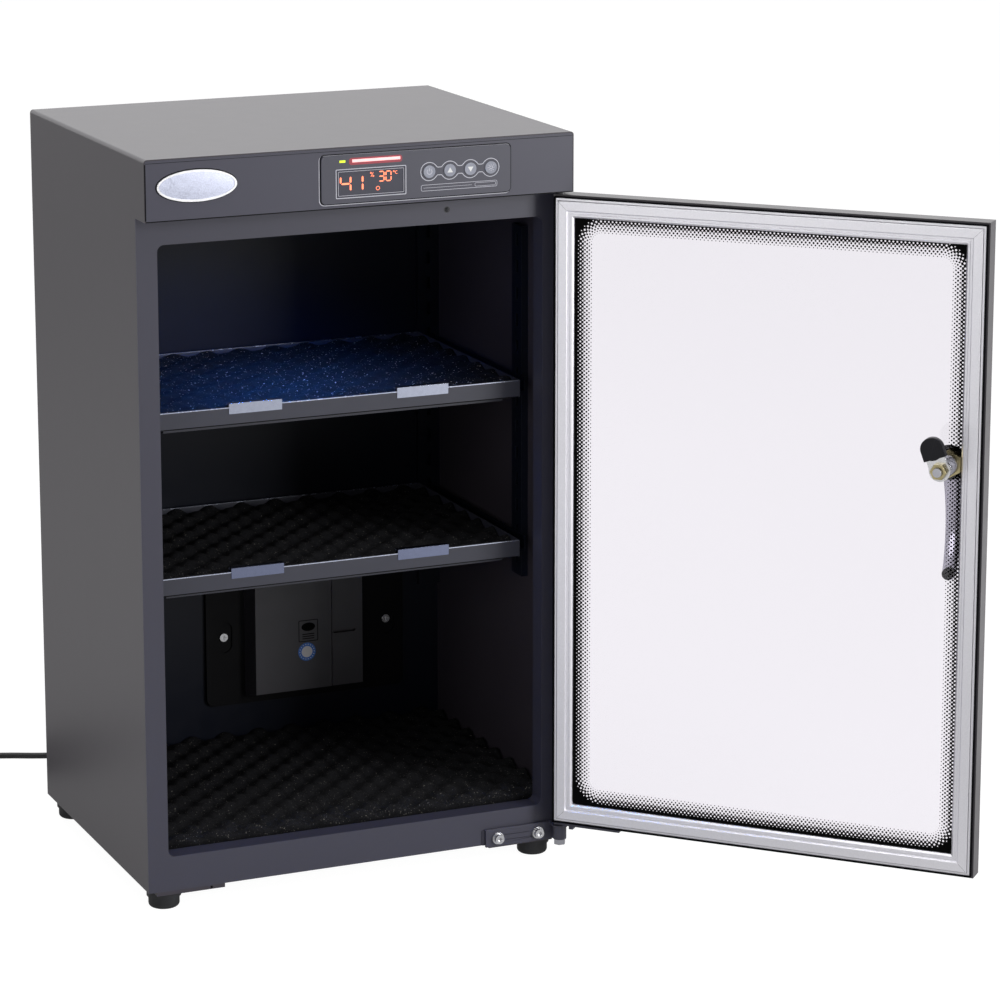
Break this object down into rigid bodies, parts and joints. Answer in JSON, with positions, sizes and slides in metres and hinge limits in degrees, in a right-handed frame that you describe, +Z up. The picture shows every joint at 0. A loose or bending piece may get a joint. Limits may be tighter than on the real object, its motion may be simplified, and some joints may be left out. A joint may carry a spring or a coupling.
{
  "type": "camera dry cabinet",
  "caption": "Camera dry cabinet with its glazed door open, two sliding foam-lined trays, a dehumidifier and a control panel in the head.",
  "frame": {"origin": "on the floor, below the middle of the case", "axes": "+X to the right as seen from the front, +Y to the back, +Z up"},
  "size_m": [0.8317, 0.8128, 0.679],
  "materials": {
    "case_paint": "satin charcoal paint",
    "front_paint": "satin blue-grey paint",
    "lining_paint": "matt black paint",
    "tray_paint": "satin dark paint",
    "door_paint": "satin grey paint",
    "trim_aluminium": "satin anodised",
    "badge_metal": "brushed with a raised rim",
    "clip_steel": "bright sheet steel",
    "zinc_steel": "zinc plated",
    "yellow_zinc": "yellow zinc plated",
    "chrome": "polished",
    "clear_glass": "clear float glass with a dotted black border",
    "black_rubber": "matt",
    "foam": "dark egg-crate foam",
    "black_plastic": "fine grained",
    "panel_plastic": "satin dark film",
    "button_metal": "satin",
    "smoked_window": "clear red-brown",
    "green_lens": "lit",
    "red_lens": "lit",
    "lamp_diffuser": "milky",
    "white_plastic": "satin",
    "circuit_board": "solder mask",
    "cord_jacket": "soft vinyl"
  },
  "bodies": {
    "case": {"case_wrap": "case_paint", "front_frame": "front_paint", "head_fascia": "front_paint", "rear_cover": "case_paint", "base_pan": "case_paint", "floor_liner": "lining_paint", "ceiling_liner": "lining_paint", "back_liner": "lining_paint", "feet": "black_rubber", "foot_screws": "zinc_steel", "badge": "badge_metal", "control_panel": "panel_plastic", "display_window": "smoked_window", "status_lens": "green_lens", "light_bar": "red_lens", "control_board": "circuit_board", "door_sensor": "black_plastic", "lamp_housing": "white_plastic", "lamp_lens": "lamp_diffuser", "pilasters": "lining_paint", "upper_rails": "tray_paint", "lower_rails": "tray_paint", "floor_mat": "foam", "unit_base": "black_plastic", "unit_cover": "black_plastic", "unit_screws": "zinc_steel", "hinge_bracket": "front_paint", "hinge_spacer": "front_paint", "hinge_screws": "zinc_steel", "lower_pivot_bolt": "zinc_steel", "upper_pivot_pin": "zinc_steel", "upper_hinge_plate": "zinc_steel", "cable_gland": "black_plastic", "power_cord": "cord_jacket", "cord_coil": "cord_jacket", "plug": "black_plastic"},
    "door": {"door_frame": "door_paint", "door_trim": "trim_aluminium", "door_glass": "clear_glass", "door_gasket": "black_rubber", "hinge_bushes": "white_plastic", "door_hinge_plate": "door_paint", "lock_barrel": "yellow_zinc", "lock_nut": "yellow_zinc"},
    "lock_turn": {"lock_handle": "chrome", "handle_bumper": "black_rubber", "cam_plate": "zinc_steel", "cam_sleeve": "black_plastic", "cam_nut": "yellow_zinc"},
    "key_plug": {"key_cylinder": "zinc_steel"},
    "tray_upper": {"upper_tray": "tray_paint", "upper_clips": "clip_steel", "upper_mat": "foam"},
    "tray_lower": {"lower_tray": "tray_paint", "lower_clips": "clip_steel", "lower_mat": "foam"},
    "press_power": {"button_power": "button_metal"},
    "press_up": {"button_up": "button_metal"},
    "press_down": {"button_down": "button_metal"},
    "press_lamp": {"button_lamp": "button_metal"}
  },
  "joints": [
    {"name": "door_swing", "type": "hinge", "parent": "case", "child": "door", "pos_m": [0.194, -0.164, 0.33], "axis": [0, 0, 1], "range_deg": [-134, 36]},
    {"name": "handle_turn", "type": "hinge", "parent": "door", "child": "lock_turn", "pos_m": [0.44512, -0.42404, 0.41], "axis": [0.7193, 0.6947, 0], "range_deg": [0, 110]},
    {"name": "key_turn", "type": "hinge", "parent": "lock_turn", "child": "key_plug", "pos_m": [0.44512, -0.42404, 0.41], "axis": [0.7193, 0.6947, 0], "range_deg": [0, 90]},
    {"name": "upper_tray_slide", "type": "slide", "parent": "case", "child": "tray_upper", "axis": [0, -1, 0], "range_m": [0, 0.18]},
    {"name": "lower_tray_slide", "type": "slide", "parent": "case", "child": "tray_lower", "axis": [0, -1, 0], "range_m": [0, 0.18]},
    {"name": "press_power_in", "type": "slide", "parent": "case", "child": "press_power", "axis": [0, 1, 0], "range_m": [0, 0.0008], "stiffness_N_per_m": 500},
    {"name": "press_up_in", "type": "slide", "parent": "case", "child": "press_up", "axis": [0, 1, 0], "range_m": [0, 0.0008], "stiffness_N_per_m": 500},
    {"name": "press_down_in", "type": "slide", "parent": "case", "child": "press_down", "axis": [0, 1, 0], "range_m": [0, 0.0008], "stiffness_N_per_m": 500},
    {"name": "press_lamp_in", "type": "slide", "parent": "case", "child": "press_lamp", "axis": [0, 1, 0], "range_m": [0, 0.0008], "stiffness_N_per_m": 500}
  ]
}
